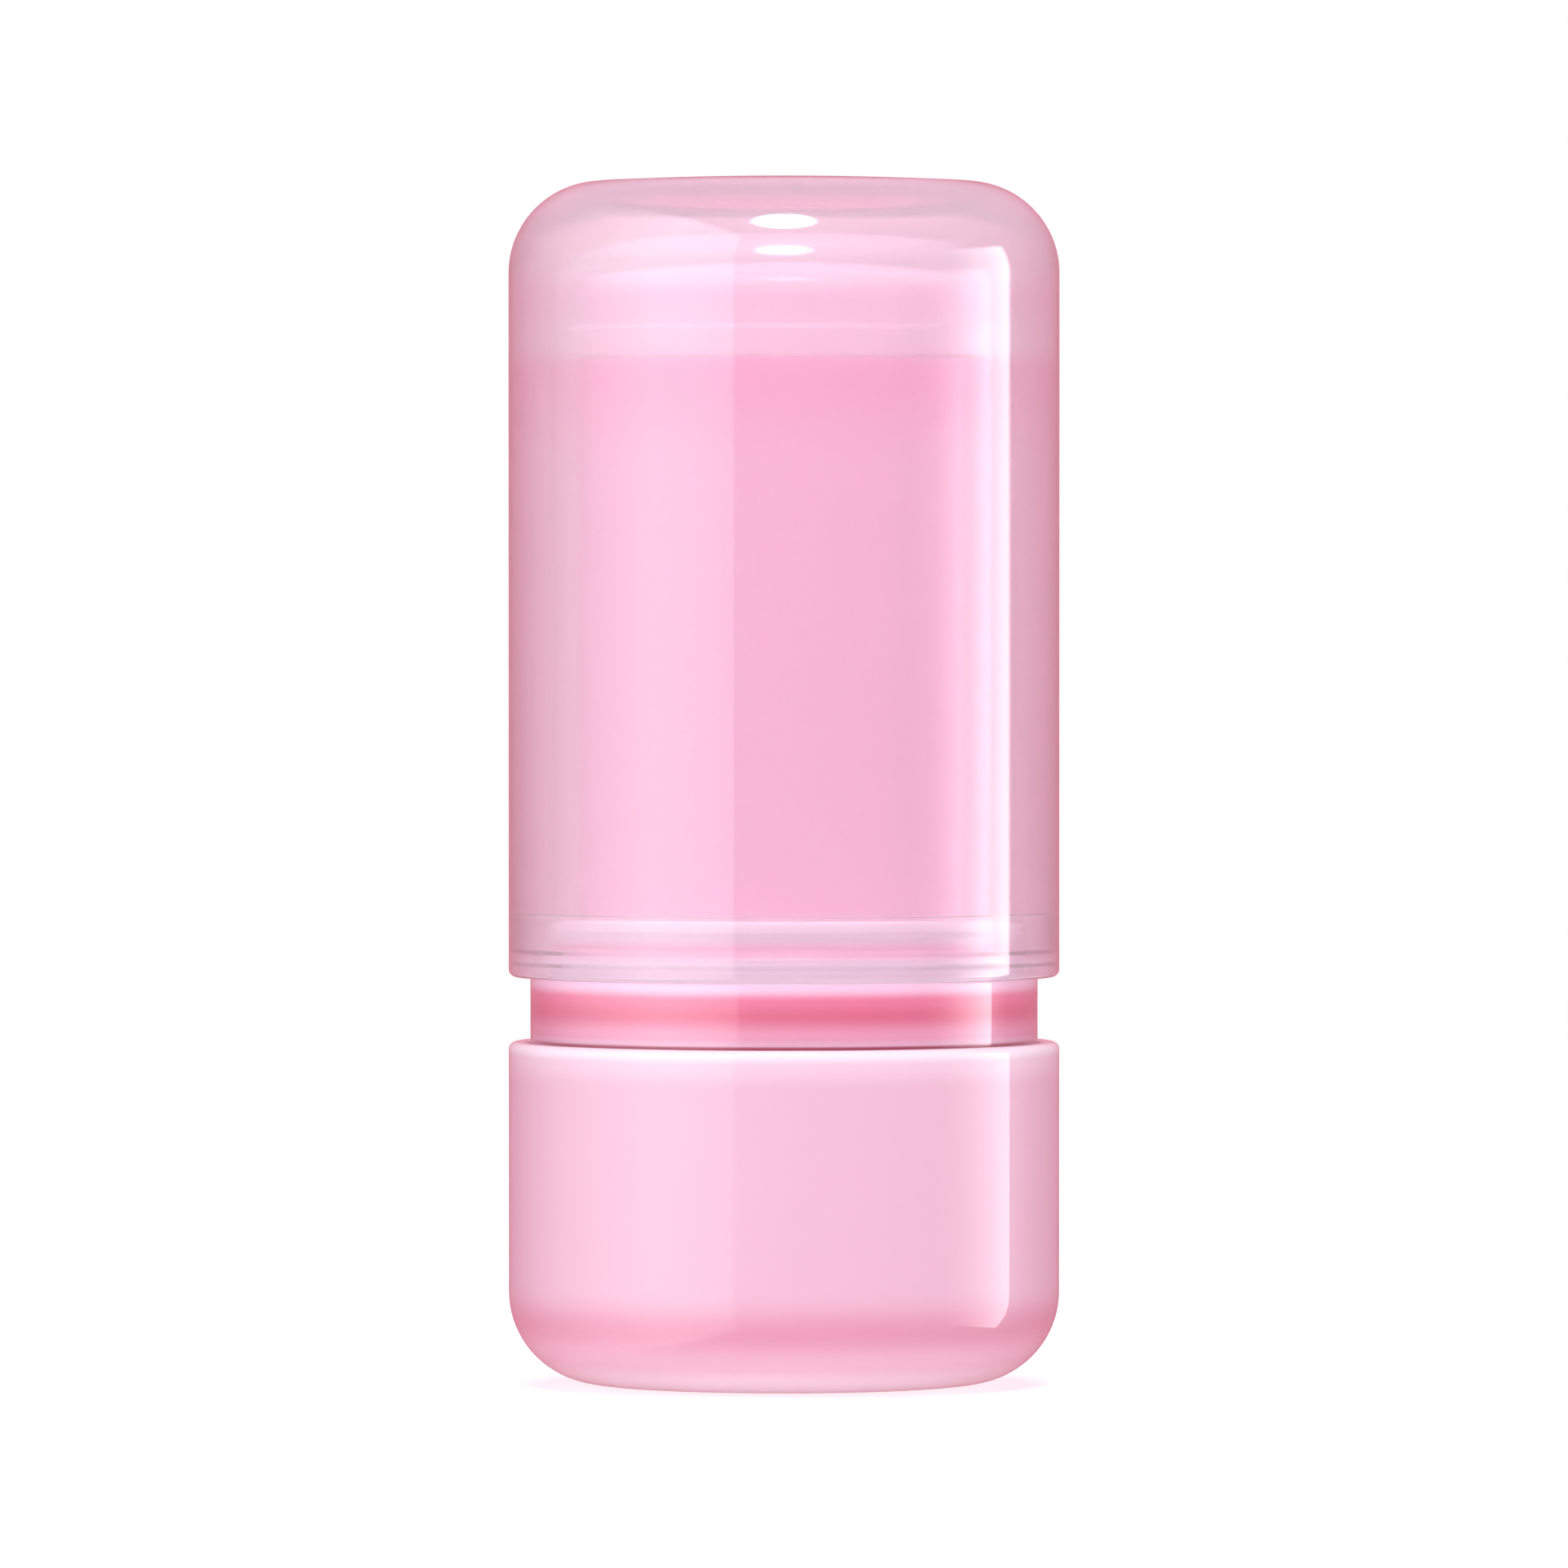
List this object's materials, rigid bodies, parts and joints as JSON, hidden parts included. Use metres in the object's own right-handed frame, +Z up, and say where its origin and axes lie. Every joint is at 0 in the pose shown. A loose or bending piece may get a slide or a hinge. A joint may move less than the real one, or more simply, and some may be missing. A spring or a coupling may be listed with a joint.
{
  "type": "twist-up balm stick",
  "caption": "Round twist-up balm stick: turning the base screws the balm up its barrel, under a clear inner lid and a translucent pull-off cap.",
  "frame": {"origin": "centre of the base's underside, where the stick stands", "axes": "+Z up along the stick's own axis, towards the cap; the outside is round, so X and Y are alike"},
  "size_m": [0.03, 0.03, 0.0657],
  "materials": {
    "base_gloss": "polished pale pink",
    "inner_white": "as moulded",
    "spindle_white": "as moulded",
    "seal_rubber": "soft translucent grey",
    "collar_gloss": "polished coral pink",
    "barrel_gloss": "polished pink",
    "carrier_white": "as moulded",
    "balm": "waxy",
    "lid_clear": "thin clear",
    "cap_tint": "thick tinted clear, polished"
  },
  "bodies": {
    "base_body": {"base_shell": "base_gloss", "base_core": "inner_white", "spindle": "spindle_white", "spindle_seal": "seal_rubber"},
    "barrel_body": {"collar": "collar_gloss", "barrel": "barrel_gloss"},
    "balm_body": {"balm_carrier": "carrier_white", "balm_stick": "balm"},
    "lid_body": {"inner_lid": "lid_clear"},
    "cap_body": {"over_cap": "cap_tint"}
  },
  "joints": [
    {"name": "twist", "type": "hinge", "parent": "base_body", "child": "barrel_body", "pos_m": [0, 0, 0], "axis": [0, 0, 1], "range_deg": [0, 2520]},
    {"name": "rise", "type": "slide", "parent": "barrel_body", "child": "balm_body", "axis": [0, 0, 1], "range_m": [0, 0.028]},
    {"name": "lid_pull", "type": "slide", "parent": "balm_body", "child": "lid_body", "axis": [0, 0, 1], "range_m": [0, 0.02]},
    {"name": "cap_pull", "type": "slide", "parent": "lid_body", "child": "cap_body", "axis": [0, 0, 1], "range_m": [0, 0.045]}
  ],
  "couplings": [
    {"joint": "rise", "follows": "twist", "m_per_rad": 0.00063662}
  ]
}
